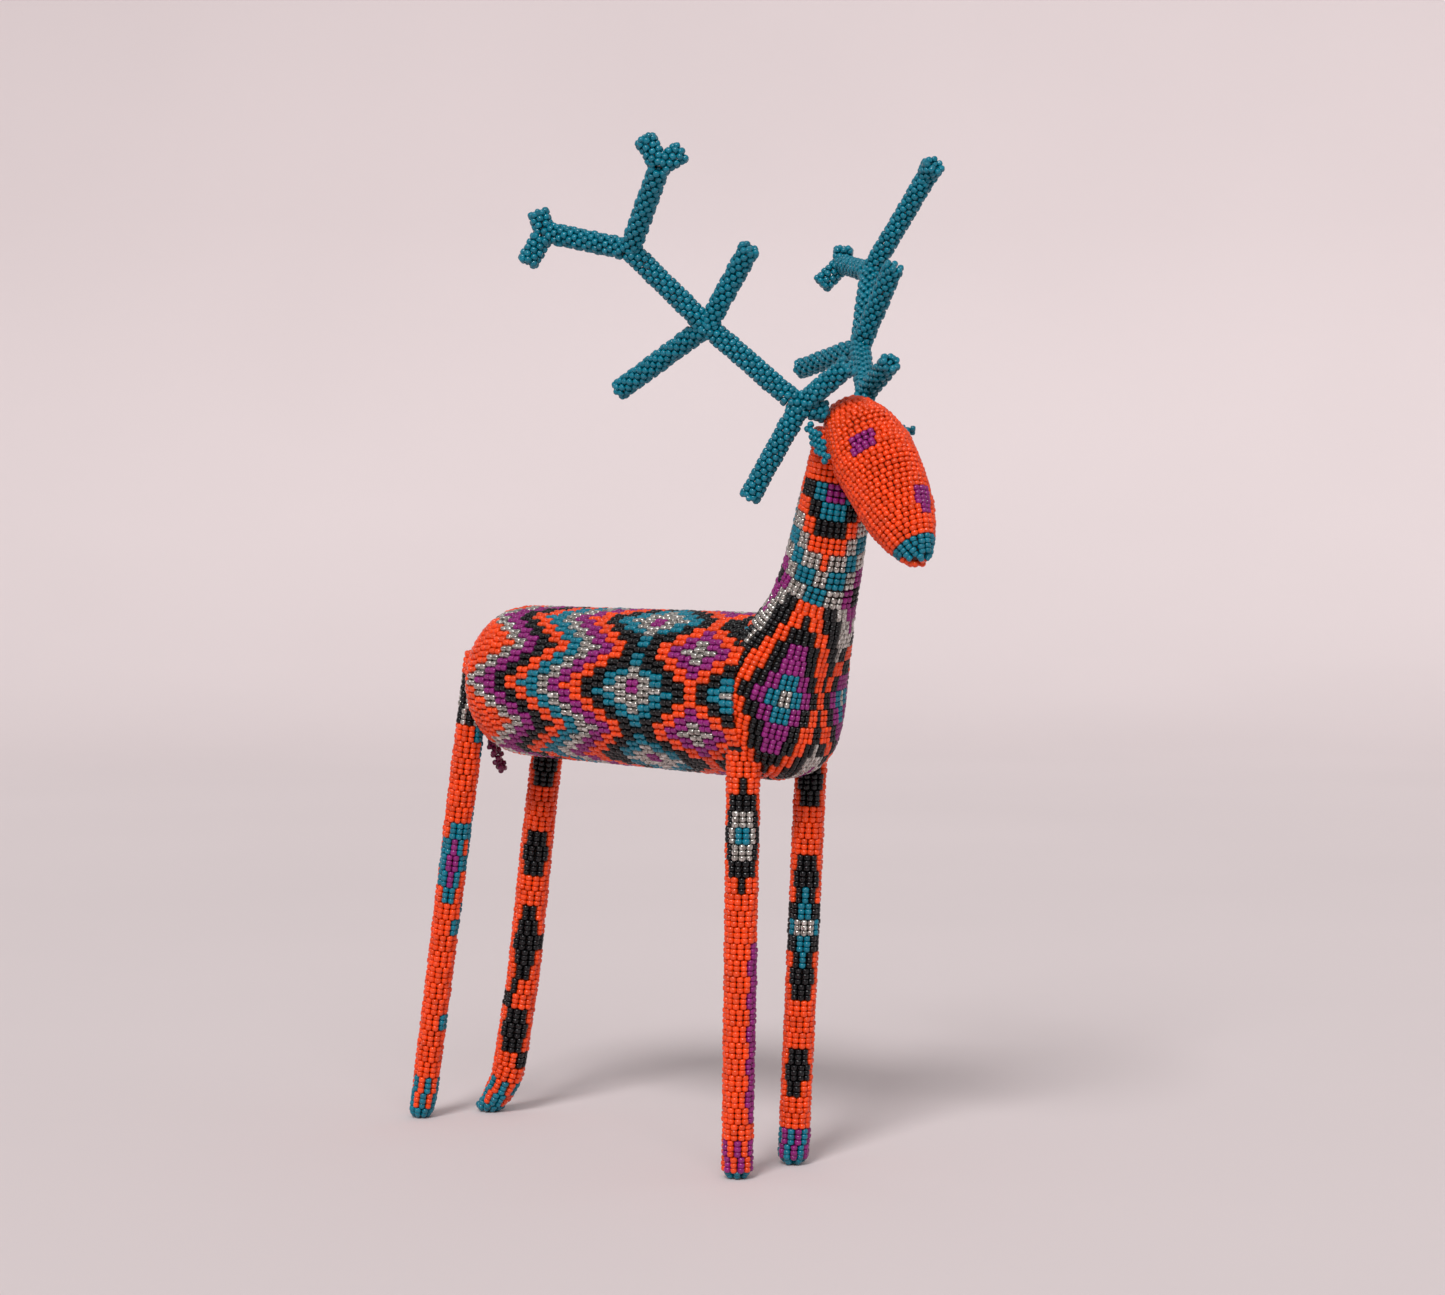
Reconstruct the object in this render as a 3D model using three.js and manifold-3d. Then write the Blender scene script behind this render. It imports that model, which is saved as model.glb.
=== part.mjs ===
// A standing stag covered in woven glass beads: padded forms and bent wires inside,
// bead sleeves outside, branching antlers, two sewn ears and a beaded tail loop.
// Millimetres, +Z up. The stag faces -Y and its left side is +X.
// It is drawn about the trunk's middle plane, then every piece is moved by TO_ORIGIN
// so that the origin is on the ground under the middle of the whole figure.
import * as THREE from 'three';
import { mergeVertices } from 'three/addons/utils/BufferGeometryUtils.js';
import Module from 'manifold-3d';

const wasm = await Module();
wasm.setup();

// Beads and gaps
const BEAD = 1.9;              // thickness of a one-bead-deep skin
const GAP = 0.3;               // clearance between neighbouring pieces
const WIRE_RADIUS = 0.8;       // armature wire
const FAR = 400;               // longer than any piece, for cutting boxes
const TO_ORIGIN = [-0.9, 4.7, 0];

// Trunk: a nearly round sleeve along Y with a rounded rear edge and a slightly crowned end
const TRUNK_FRONT_Y = -43;
const TRUNK_END_Y = 62.5;
const TRUNK_EDGE = 11;         // radius of the rounded rear edge
const TRUNK_CROWN = 1.5;       // bulge in the middle of the rear end
const TRUNK_PANEL_Y = 58.5;    // seam between the trunk sleeve and the rump panel
const TRUNK_FRONT = { radius: 23.1, z: 131.9 };
const TRUNK_REAR = { radius: 22.3, z: 133.4 };
const TRUNK_SIDES = 28;
const EDGE_STEPS = 4;

// Chest and neck: level ovals from the brisket up to the head, x half-width by y half-depth
const NECK_SIDES = 20;
const NECK_STEPS = 14;
const NECK_STATIONS = [
  { at: [0, -43.5, 109.8], half: [8, 7] },
  { at: [0, -43.5, 113.5], half: [15.5, 13] },
  { at: [0, -43, 121], half: [20.5, 16.8] },
  { at: [0, -43, 132], half: [22.7, 17.2] },
  { at: [0, -45, 142], half: [20.6, 18.3] },
  { at: [0, -50.2, 149.5], half: [15.8, 16.3] },
  { at: [-0.2, -54.9, 156.5], half: [12.4, 13] },
  { at: [-0.9, -59.2, 165], half: [11.3, 11.6] },
  { at: [-2.3, -63, 175], half: [10.7, 10.7] },
  { at: [-3.7, -66.5, 186], half: [9.9, 9.9] },
  { at: [-4.5, -69.6, 197], half: [9, 9.2] },
  { at: [-5, -71.4, 205], half: [8.4, 8.6] },
];
const NECK_PASSAGE_RADIUS = 4;

// Head: ovals square to a line that drops steeply from the crown to the nose
const HEAD_SIDES = 18;
const HEAD_STEPS = 11;
const HEAD_DOWN = THREE.MathUtils.degToRad(54.5);
const HEAD_TURN = THREE.MathUtils.degToRad(7.3);
const HEAD_STATIONS = [
  { at: [-4.8, -69.6, 211], half: [4.5, 4.5] },
  { at: [-5.2, -72.9, 207.6], half: [8.2, 8.4] },
  { at: [-5.8, -77.4, 203], half: [10.4, 10.2] },
  { at: [-6.4, -81.8, 196.4], half: [11.3, 11.7] },
  { at: [-7, -87.1, 189], half: [10.6, 11] },
  { at: [-7.6, -91.5, 181.5], half: [9.6, 10] },
  { at: [-8.1, -95.3, 175.6], half: [7.2, 7.8] },
  { at: [-8.5, -98, 171.2], half: [4.6, 5] },
  { at: [-8.7, -99.4, 168.8], half: [2.4, 2.6] },
];
const NOSE_LENGTH = 4.6;       // bead cap at the end of the muzzle
const EYE_DEPTH = 1.4;         // eye patches are let this deep into the head's skin
const EYE_SLOT_DEPTH = 10;
const EYES = {
  eye_patch_right: { at: [-16.4, -85.9, 199.5], size: [4.2, 6.8] },
  eye_patch_left: { at: [-7.7, -100.2, 185.5], size: [5.2, 3.8] },
};

// Legs: foot and top centres, radii, how far the leg runs on up into or behind the body,
// and an optional bend just above the foot
const LEG_SIDES = 10;
const LEG_STEPS = 5;
const FOOT_HEIGHT = 2.6;
const FOOT_FLAT_SHARE = 0.62;  // flat underside of a foot cap, as a share of its full width
const KNEE_SHARE = 0.13;       // a leg without a bend has its lowest station this far up
const LEGS = {
  front_right: { foot: [-12.3, -39.5], top: [-13.8, -43, 114], radii: [4.7, 5], sink: 12 },
  front_left: { foot: [11.8, -39.7], top: [13, -45, 112], radii: [4.7, 4.8], sink: 12 },
  rear_right: { foot: [-8.8, 88.2], top: [-10, 65.2, 122], radii: [4.3, 4.6], sink: 20 },
  rear_left: { foot: [11.7, 79.5], top: [13, 56, 112], radii: [5.4, 5.1], sink: 12, bend: [13.5, 72, 15] },
};

// Antlers: joints of the bent wire, then the beaded lengths between them
const SLEEVE_RADIUS = 3.25;
const FORK_RADIUS = 3.3;
const SLEEVE_SIDES = 8;
const WIRE_SIDES = 6;
const TIP_CLEARANCE = 2.2;     // the wire stops this far short of a sleeve's tip
const ANTLERS = {
  right: {
    anchor: [-7.5, -73, 205], root: [-12.2, -70.6, 208.8], brow: [-17.7, -65.8, 210.4],
    brow_front: [-14.6, -80.5, 221.4], brow_back: [-22.8, -52.1, 185.6],
    crown: [-31.4, -45.2, 231.7], crown_front: [-31.6, -60.5, 252], crown_back: [-32.2, -13.9, 215.3],
    fork: [-46, -30.8, 251.6],
    upper_front: [-52.4, -47.1, 271.9], upper_front_a: [-54.8, -43.6, 279.6],
    upper_front_b: [-48.2, -51.8, 275.9],
    upper_back: [-53.2, -6.7, 257.3], upper_back_a: [-54.4, -5, 263.2], upper_back_b: [-56.8, -3.2, 248.4],
  },
  left: {
    anchor: [-2, -72.5, 206], root: [3.9, -69.4, 210.8], brow: [6.9, -68.8, 214.8],
    brow_front: [0.2, -82.4, 222.4], brow_back: [12.2, -55.1, 190.5],
    crown: [25.3, -52.4, 228.4], crown_front: [21.7, -67.3, 250.4], crown_back: [34.9, -23.3, 223.6],
    fork: [43.1, -42.2, 250.8],
    upper_front: [45.1, -60.4, 276.3], upper_front_a: [46.6, -61.8, 281],
    upper_front_b: [42.8, -65.5, 279.8],
    upper_back: [57.6, -20.7, 255.2], upper_back_a: [58.4, -20.8, 260.4], upper_back_b: [53.2, -16, 248.8],
  },
};
const BRANCHES = [
  { name: 'beam_lower', from: 'anchor', via: ['root', 'brow'], to: 'crown', radius: SLEEVE_RADIUS },
  { name: 'beam_upper', from: 'crown', to: 'fork', radius: SLEEVE_RADIUS },
  { name: 'brow_tine_front', from: 'brow', to: 'brow_front', radius: SLEEVE_RADIUS },
  { name: 'brow_tine_back', from: 'brow', to: 'brow_back', radius: SLEEVE_RADIUS },
  { name: 'crown_tine_front', from: 'crown', to: 'crown_front', radius: SLEEVE_RADIUS },
  { name: 'crown_tine_back', from: 'crown', to: 'crown_back', radius: SLEEVE_RADIUS },
  { name: 'upper_branch_front', from: 'fork', to: 'upper_front', radius: SLEEVE_RADIUS },
  { name: 'upper_branch_back', from: 'fork', to: 'upper_back', radius: SLEEVE_RADIUS },
  { name: 'front_prong_a', from: 'upper_front', to: 'upper_front_a', radius: FORK_RADIUS },
  { name: 'front_prong_b', from: 'upper_front', to: 'upper_front_b', radius: FORK_RADIUS },
  { name: 'back_prong_a', from: 'upper_back', to: 'upper_back_a', radius: FORK_RADIUS },
  { name: 'back_prong_b', from: 'upper_back', to: 'upper_back_b', radius: FORK_RADIUS },
];

// Ears: flat leaves of beads, hung from their roots
const EAR = { width: 3.9, thickness: 1.8 };
const EAR_BELLY = 0.45;        // how far down the leaf its widest part lies
const EAR_CURVE_STEPS = 5;
const EARS = {
  right: { root: [-16.4, -67.7, 205.4], tip: [-18.4, -75.9, 195.8], face: [-1, 0.15, 0] },
  left: { root: [7.4, -69.6, 205.6], tip: [15.2, -79.2, 204.6], face: [0.4, 0.5, 1] },
};

// Tail: a narrow loop of bead string below the rump
const TAIL = { top: [-4.6, 62.6, 115.5], bottom: [1, 62.8, 105.8], half_width: 1.9, string: 0.9 };
const TAIL_SECTION = 8;
const TAIL_STEPS = 20;

const COLOURS = {
  orange: [0xe8481c, 0.35], teal: [0x007d96, 0.2], purple: [0x96287d, 0.3], maroon: [0x5a1034, 0.3],
  padding: [0xcfc2ae, 0.95], wire: [0x8a8d90, 0.4],
};

function material(name) {
  const [color, roughness] = COLOURS[name];
  return new THREE.MeshStandardMaterial({ color, roughness, metalness: name === 'wire' ? 0.9 : 0 });
}

// three.js geometry to a manifold solid and back
function solid(geometry) {
  const bare = geometry.clone();
  bare.deleteAttribute('normal');
  bare.deleteAttribute('uv');
  const merged = mergeVertices(bare, 1e-4);
  const mesh = new wasm.Mesh({
    numProp: 3,
    vertProperties: new Float32Array(merged.attributes.position.array),
    triVerts: new Uint32Array(merged.index.array),
  });
  return new wasm.Manifold(mesh);
}

function geometryOf(body) {
  const mesh = body.getMesh();
  const geometry = new THREE.BufferGeometry();
  geometry.setAttribute('position', new THREE.BufferAttribute(mesh.vertProperties, 3));
  geometry.setIndex(new THREE.BufferAttribute(mesh.triVerts, 1));
  const flat = geometry.toNonIndexed();
  flat.computeVertexNormals();
  return flat;
}

function vector(values) {
  return new THREE.Vector3(...values);
}

// Section axes: across, along, and the third one square to both
function axes(across, along) {
  const second = new THREE.Vector3().crossVectors(across, along).normalize();
  return { across, along, second };
}
const LEVEL = axes(new THREE.Vector3(1, 0, 0), new THREE.Vector3(0, 0, 1));
const HEAD_AXES = axes(
  new THREE.Vector3(Math.cos(HEAD_TURN), -Math.sin(HEAD_TURN), 0),
  new THREE.Vector3(
    -Math.sin(HEAD_TURN) * Math.cos(HEAD_DOWN),
    -Math.cos(HEAD_TURN) * Math.cos(HEAD_DOWN),
    -Math.sin(HEAD_DOWN),
  ),
);

// A smooth body through oval stations whose sections all stay parallel.
// A positive inset shrinks it all round and at both ends; a negative one swells it.
function ovalBody(stations, section, sides, steps, inset = 0) {
  const last = stations.length - 1;
  const centres = new THREE.CatmullRomCurve3(stations.map((station, i) => {
    const push = i === 0 ? inset : i === last ? -inset : 0;
    return vector(station.at).addScaledVector(section.along, push);
  }));
  const halves = new THREE.CatmullRomCurve3(stations.map((station) => vector([...station.half, 0])));
  const geometry = new THREE.CylinderGeometry(1, 1, 1, sides, steps);
  const position = geometry.attributes.position;
  for (let i = 0; i < position.count; i += 1) {
    const t = THREE.MathUtils.clamp(position.getY(i) + 0.5, 0, 1);
    const half = halves.getPoint(t);
    const point = centres.getPoint(t)
      .addScaledVector(section.across, position.getX(i) * Math.max(half.x - inset, 0.5))
      .addScaledVector(section.second, position.getZ(i) * Math.max(half.y - inset, 0.5));
    position.setXYZ(i, point.x, point.y, point.z);
  }
  return solid(geometry);
}

// A straight rod or sleeve blank from one point to another
function rod(from, to, radius, sides, endRadius = radius) {
  const span = vector(to).sub(vector(from));
  const geometry = new THREE.CylinderGeometry(endRadius, radius, span.length(), sides);
  geometry.translate(0, span.length() / 2, 0);
  geometry.applyQuaternion(new THREE.Quaternion().setFromUnitVectors(
    new THREE.Vector3(0, 1, 0),
    span.clone().normalize(),
  ));
  geometry.translate(...from);
  return solid(geometry);
}

function box(low, high) {
  const size = vector(high).sub(vector(low));
  const geometry = new THREE.BoxGeometry(size.x, size.y, size.z);
  geometry.translate((low[0] + high[0]) / 2, (low[1] + high[1]) / 2, (low[2] + high[2]) / 2);
  return solid(geometry);
}
const behind = (y) => box([-FAR, y, -FAR], [FAR, FAR, FAR]);
const aheadOf = (y) => box([-FAR, -FAR, -FAR], [FAR, y, FAR]);

// Trunk: turned about Y, then tipped and raised so that the rear sits a little higher
function trunkBody(inset, frontY = TRUNK_FRONT_Y) {
  const length = TRUNK_END_Y - TRUNK_FRONT_Y;
  const profile = [new THREE.Vector2(0, frontY)];
  profile.push(new THREE.Vector2(TRUNK_FRONT.radius - inset, frontY));
  for (let step = 0; step <= EDGE_STEPS; step += 1) {
    const angle = (step / EDGE_STEPS) * (Math.PI / 2);
    const radius = TRUNK_REAR.radius - TRUNK_EDGE + (TRUNK_EDGE - inset) * Math.cos(angle);
    const y = TRUNK_END_Y - TRUNK_EDGE + (TRUNK_EDGE - inset) * Math.sin(angle);
    profile.push(new THREE.Vector2(radius, y));
  }
  profile.push(new THREE.Vector2(0, TRUNK_END_Y + TRUNK_CROWN - inset));
  const geometry = new THREE.LatheGeometry(profile, TRUNK_SIDES);
  geometry.translate(0, -TRUNK_FRONT_Y, 0);
  geometry.rotateX(Math.atan2(TRUNK_REAR.z - TRUNK_FRONT.z, length));
  geometry.translate(0, TRUNK_FRONT_Y, TRUNK_FRONT.z);
  return solid(geometry);
}

const neckBody = (inset) => ovalBody(NECK_STATIONS, LEVEL, NECK_SIDES, NECK_STEPS, inset);
const headBody = (inset) => ovalBody(HEAD_STATIONS, HEAD_AXES, HEAD_SIDES, HEAD_STEPS, inset);

function headCut(distance) {
  // Everything beyond a plane square to the head's line, a distance short of the nose tip
  const tip = vector(HEAD_STATIONS.at(-1).at).addScaledVector(HEAD_AXES.along, -distance);
  const far = tip.clone().addScaledVector(HEAD_AXES.along, FAR);
  return rod(tip.toArray(), far.toArray(), FAR, LEG_SIDES);
}

const trunkOuter = trunkBody(0);
const trunkKeepOut = trunkBody(-GAP);
const neckOuter = neckBody(0);
const neckKeepOut = neckBody(-GAP);
const headOuter = headBody(0);
const headKeepOut = headBody(-GAP);
const neckPassage = rod(NECK_STATIONS.at(-3).at, NECK_STATIONS.at(-1).at, NECK_PASSAGE_RADIUS, LEG_SIDES);

const figure = new THREE.Group();

function addPiece(name, body, colour) {
  const mesh = new THREE.Mesh(geometryOf(body.translate(TO_ORIGIN)), material(colour));
  mesh.name = name;
  figure.add(mesh);
}

function addTrunk() {
  const hollow = trunkBody(BEAD, TRUNK_FRONT_Y - 1);
  const core = trunkBody(BEAD + GAP, TRUNK_FRONT_Y + GAP);
  addPiece('trunk_core', core, 'padding');
  addPiece('trunk_sleeve', trunkOuter.subtract(hollow).subtract(behind(TRUNK_PANEL_Y)), 'orange');
  addPiece('rump_panel', trunkOuter.subtract(hollow).intersect(behind(TRUNK_PANEL_Y + GAP)), 'orange');
}

function addNeck() {
  const trunkRoom = trunkKeepOut.add(trunkBody(-GAP, TRUNK_FRONT_Y + GAP));
  const sleeve = neckOuter.subtract(neckBody(BEAD)).subtract(trunkRoom).subtract(headKeepOut);
  const core = neckBody(BEAD + GAP).subtract(trunkRoom).subtract(headKeepOut);
  const front = aheadOf(TRUNK_FRONT_Y - GAP).add(box([-FAR, -FAR, TRUNK_FRONT.z], [FAR, 0, FAR]));
  addPiece('chest_neck_sleeve', largest(sleeve.intersect(front)), 'orange');
  addPiece('neck_core', largest(core.intersect(front)), 'padding');
}

// Keeps the biggest piece of a cut body and drops slivers
function largest(body) {
  return body.decompose().reduce((best, piece) => (piece.volume() > best.volume() ? piece : best));
}

// A slot through the head's skin, its size given along the head's line and around it
function eyePocket(eye, swell) {
  const [along, around] = eye.size;
  const centre = vector(eye.at);
  const outward = centre.clone().sub(closestOnHeadLine(centre));
  outward.projectOnPlane(HEAD_AXES.along).normalize();
  const sideways = new THREE.Vector3().crossVectors(outward, HEAD_AXES.along);
  const geometry = new THREE.BoxGeometry(along + swell, around + swell, EYE_SLOT_DEPTH);
  geometry.applyMatrix4(new THREE.Matrix4().makeBasis(HEAD_AXES.along, sideways, outward));
  geometry.translate(...eye.at);
  return solid(geometry);
}

function closestOnHeadLine(point) {
  const from = vector(HEAD_STATIONS[0].at);
  const to = vector(HEAD_STATIONS.at(-1).at);
  return new THREE.Line3(from, to).closestPointToPoint(point, true, new THREE.Vector3());
}

function addHead() {
  const wall = headOuter.subtract(headBody(BEAD));
  const noseEnd = headCut(NOSE_LENGTH);
  const wireHoles = Object.values(ANTLERS).map((joints) => antlerWire(joints, GAP));
  const passages = wireHoles.reduce((all, hole) => all.add(hole), neckPassage);
  let sleeve = wall.subtract(headCut(NOSE_LENGTH + GAP)).subtract(passages);
  for (const [name, eye] of Object.entries(EYES)) {
    const patch = wall.subtract(headBody(EYE_DEPTH)).intersect(eyePocket(eye, 0));
    const recess = headKeepOut.subtract(headBody(EYE_DEPTH + GAP));
    sleeve = sleeve.subtract(recess.intersect(eyePocket(eye, 2 * GAP)));
    addPiece(name, largest(patch), 'purple');
  }
  addPiece('head_sleeve', largest(sleeve), 'orange');
  addPiece('nose_cap', wall.intersect(noseEnd), 'teal');
  addPiece('head_core', headBody(BEAD + GAP).subtract(passages), 'padding');
}

function legStations(leg, radiusDrop) {
  const foot = vector([...leg.foot, 0]);
  const top = vector(leg.top);
  const bend = leg.bend ? vector(leg.bend) : foot.clone().lerp(top, KNEE_SHARE);
  const sunk = top.clone().add(top.clone().sub(bend).setLength(leg.sink));
  const [low, high] = leg.radii.map((radius) => radius - radiusDrop);
  return [
    { at: foot.toArray(), half: [low, low] },
    { at: bend.toArray(), half: [low, low] },
    { at: bend.clone().lerp(top, 0.5).toArray(), half: [(low + high) / 2, (low + high) / 2] },
    { at: top.toArray(), half: [high, high] },
    { at: sunk.toArray(), half: [high, high] },
  ];
}

function legBody(leg, radiusDrop) {
  return ovalBody(legStations(leg, radiusDrop), LEVEL, LEG_SIDES, LEG_STEPS);
}

function wireBody(leg, swell) {
  const radius = WIRE_RADIUS + swell;
  const stations = legStations(leg, 0).map(({ at }) => ({ at, half: [radius, radius] }));
  return ovalBody(stations, LEVEL, WIRE_SIDES, LEG_STEPS);
}

function addLeg(name, leg) {
  const above = (z) => box([-FAR, -FAR, z], [FAR, FAR, FAR]);
  const bodyRoom = trunkKeepOut.add(neckKeepOut);
  const clear = (body, z) => largest(body.subtract(bodyRoom).intersect(above(z)));
  const footTop = FOOT_HEIGHT + GAP;
  const sleeve = legBody(leg, 0).subtract(legBody(leg, BEAD));
  const padding = legBody(leg, BEAD + GAP).subtract(wireBody(leg, GAP));
  addPiece(`leg_${name}_sleeve`, clear(sleeve, footTop), 'orange');
  addPiece(`leg_${name}_padding`, clear(padding, footTop), 'padding');
  addPiece(`leg_${name}_wire`, clear(wireBody(leg, 0), footTop), 'wire');
  const footRadius = leg.radii[0];
  const flatRadius = footRadius * FOOT_FLAT_SHARE;
  const cap = new THREE.CylinderGeometry(footRadius, flatRadius, FOOT_HEIGHT, LEG_SIDES);
  cap.rotateX(Math.PI / 2);
  cap.translate(leg.foot[0], leg.foot[1], FOOT_HEIGHT / 2);
  addPiece(`foot_cap_${name}`, solid(cap), 'teal');
}

function branchStops(joints, branch) {
  return [branch.from, ...(branch.via ?? []), branch.to].map((key) => vector(joints[key]));
}

// The bent wire of one antler, which starts at an anchor inside the head.
// Each run carries on a little past its joint, except at a tip, where it stops short.
function antlerWire(joints, swell) {
  const radius = WIRE_RADIUS + swell;
  const runs = [];
  for (const branch of BRANCHES) {
    const stops = branchStops(joints, branch);
    const endsFree = !BRANCHES.some((other) => other.from === branch.to);
    for (let i = 1; i < stops.length; i += 1) {
      const along = stops[i].clone().sub(stops[i - 1]).normalize();
      const reach = endsFree && i === stops.length - 1 ? swell - TIP_CLEARANCE : radius;
      const end = stops[i].clone().addScaledVector(along, reach);
      runs.push(rod(stops[i - 1].toArray(), end.toArray(), radius, WIRE_SIDES));
    }
  }
  return runs.reduce((tree, run) => tree.add(run));
}

// The outer shape of one beaded length
function sleeveBlank(joints, branch, swell) {
  const stops = branchStops(joints, branch).map((stop) => stop.toArray());
  const radius = branch.radius + swell;
  let blank = rod(stops[0], stops[1], radius, SLEEVE_SIDES);
  for (let i = 2; i < stops.length; i += 1) {
    blank = blank.add(rod(stops[i - 1], stops[i], radius, SLEEVE_SIDES));
  }
  return blank;
}

function addAntler(side, joints) {
  addPiece(`antler_wire_${side}`, antlerWire(joints, 0), 'wire');
  const bore = antlerWire(joints, GAP);
  let taken = headKeepOut.add(neckKeepOut);
  for (const branch of BRANCHES) {
    const sleeve = sleeveBlank(joints, branch, 0).subtract(taken).subtract(bore);
    addPiece(`antler_${side}_${branch.name}`, largest(sleeve), 'teal');
    taken = taken.add(sleeveBlank(joints, branch, GAP));
  }
}

// A flat leaf, pointed at both ends
function addEar(side, ear) {
  const root = vector(ear.root);
  const along = vector(ear.tip).sub(root);
  const length = along.length();
  along.normalize();
  const across = new THREE.Vector3().crossVectors(along, vector(ear.face)).normalize();
  const facing = new THREE.Vector3().crossVectors(across, along);
  const leaf = new THREE.Shape();
  leaf.moveTo(-EAR.width / 4, 0);
  leaf.quadraticCurveTo(-EAR.width, length * EAR_BELLY, -EAR.width / 6, length);
  leaf.lineTo(EAR.width / 6, length);
  leaf.quadraticCurveTo(EAR.width, length * EAR_BELLY, EAR.width / 4, 0);
  leaf.closePath();
  const geometry = new THREE.ExtrudeGeometry(leaf, {
    depth: EAR.thickness, bevelEnabled: false, curveSegments: EAR_CURVE_STEPS,
  });
  geometry.translate(0, 0, -EAR.thickness / 2);
  geometry.applyMatrix4(new THREE.Matrix4().makeBasis(across, along, facing).setPosition(root));
  addPiece(`ear_${side}`, solid(geometry), 'teal');
}

function addTail() {
  const top = vector(TAIL.top);
  const span = top.clone().sub(vector(TAIL.bottom));
  const geometry = new THREE.TorusGeometry(TAIL.half_width, TAIL.string, TAIL_SECTION, TAIL_STEPS);
  geometry.scale(1, span.length() / (2 * (TAIL.half_width + TAIL.string)), 1);
  geometry.applyQuaternion(new THREE.Quaternion().setFromUnitVectors(
    new THREE.Vector3(0, 1, 0),
    span.clone().normalize(),
  ));
  const middle = top.clone().addScaledVector(span, -0.5);
  geometry.translate(middle.x, middle.y, middle.z);
  addPiece('tail_loop', solid(geometry), 'maroon');
}

addTrunk();
addNeck();
addHead();
for (const [name, leg] of Object.entries(LEGS)) {
  addLeg(name, leg);
}
for (const [side, joints] of Object.entries(ANTLERS)) {
  addAntler(side, joints);
}
for (const [side, ear] of Object.entries(EARS)) {
  addEar(side, ear);
}
addTail();

export default figure;
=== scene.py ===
"""A woven glass-bead stag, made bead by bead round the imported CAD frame. Metres, +Z up.

Each sleeve of the CAD model gives a guide: a middle line and the smooth outline round it.
Beads are strung on that guide in rings, a few beads to a block, and every ring is turned by
half a bead against the one below, as in tubular beadwork. A chart gives each block its colour.
"""
import collections
import math

import bpy
import numpy as np
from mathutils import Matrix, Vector
from mathutils.bvhtree import BVHTree


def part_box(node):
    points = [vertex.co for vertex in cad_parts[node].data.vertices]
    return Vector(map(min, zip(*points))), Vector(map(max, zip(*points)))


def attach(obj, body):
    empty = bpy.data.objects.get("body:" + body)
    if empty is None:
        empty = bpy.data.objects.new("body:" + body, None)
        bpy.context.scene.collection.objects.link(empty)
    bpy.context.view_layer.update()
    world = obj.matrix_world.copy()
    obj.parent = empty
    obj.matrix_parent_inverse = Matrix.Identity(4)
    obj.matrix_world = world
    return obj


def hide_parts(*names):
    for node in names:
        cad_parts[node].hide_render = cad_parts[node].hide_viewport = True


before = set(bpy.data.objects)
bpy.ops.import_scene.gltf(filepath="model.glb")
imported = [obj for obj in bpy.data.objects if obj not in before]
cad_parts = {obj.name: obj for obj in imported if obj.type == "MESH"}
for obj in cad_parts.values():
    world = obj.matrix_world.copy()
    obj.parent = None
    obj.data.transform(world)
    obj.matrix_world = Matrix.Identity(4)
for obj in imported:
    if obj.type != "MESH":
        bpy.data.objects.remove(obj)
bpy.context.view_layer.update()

MM = 0.001
FIGURE = "figure"
LEGS = ("front_right", "front_left", "rear_right", "rear_left")
BRANCHES = (
    "beam_lower", "beam_upper", "brow_tine_front", "brow_tine_back",
    "crown_tine_front", "crown_tine_back", "upper_branch_front", "upper_branch_back",
    "front_prong_a", "front_prong_b", "back_prong_a", "back_prong_b",
)

# Beads
BEAD_SIDES = 10
BEAD_PROFILE = ((0.62, -0.5), (0.93, -0.34), (1.0, 0.0), (0.93, 0.34), (0.62, 0.5))
BEAD_DIMPLE = 0.36
BEAD_TILT = math.radians(4)      # random lean of a bead on its thread
BEAD_SCATTER = 0.07 * MM         # random push in or out
BEAD_SIZE_SPREAD = 0.06
BEAD_REACH = 1.25                # a bead stays within this many times its two half sizes
BEAD_PLUMP = 1.0                 # size of a bead against its place in the weave

Weaving = collections.namedtuple("Weaving", "pitch drop radii start phase")
TRUNK_WEAVING = Weaving(pitch=2.145 * MM, drop=2, radii=(0.7 * MM, 1.25 * MM), start=1.3 * MM, phase=0)
NECK_WEAVING = Weaving(pitch=1.5 * MM, drop=3, radii=(0.6 * MM, 1.15 * MM), start=1.35 * MM, phase=1)
HEAD_WEAVING = Weaving(pitch=1.32 * MM, drop=2, radii=(0.6 * MM, 1.05 * MM), start=0, phase=0)
LEG_RADII = (0.6 * MM, 1.1 * MM)
LEG_WEAVINGS = {
    "front_right": Weaving(pitch=1.51 * MM, drop=3, radii=LEG_RADII, start=0.7 * MM, phase=0),
    "front_left": Weaving(pitch=1.51 * MM, drop=3, radii=LEG_RADII, start=0.3 * MM, phase=1),
    "rear_right": Weaving(pitch=1.65 * MM, drop=3, radii=LEG_RADII, start=1.5 * MM, phase=1),
    "rear_left": Weaving(pitch=1.53 * MM, drop=3, radii=LEG_RADII, start=2.2 * MM, phase=1),
}
ANTLER_WEAVING = Weaving(pitch=1.55 * MM, drop=1, radii=(0.6 * MM, 0.93 * MM), start=0, phase=0)
TRUNK_ROUND = 72                 # beads round the trunk
TRUNK_TUCK = 2.6 * MM            # the trunk's beads run this far in under the chest
CHEST_BACK = 1.3 * MM            # the chest's middle line starts this far behind their end
CHEST_OVERLAP = 4.1 * MM         # the chest's beads run this far in under the trunk's
TRUNK_BEAD = 1.93 * MM           # width of a bead as it lies beside the next
LEG_BEAD = 1.95 * MM
HEAD_BEAD = 1.85 * MM
EAR_BEAD = (1.45 * MM, 1.75 * MM)
EAR_CURL = 0.3 * MM
ANTLER_BEAD = 1.95 * MM
EYE_REACH = 0.4 * MM
CHIN = 2.2 * MM
TAIL_BEAD = (1.35 * MM, 1.75 * MM)
TAIL_BEADS = 14
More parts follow.
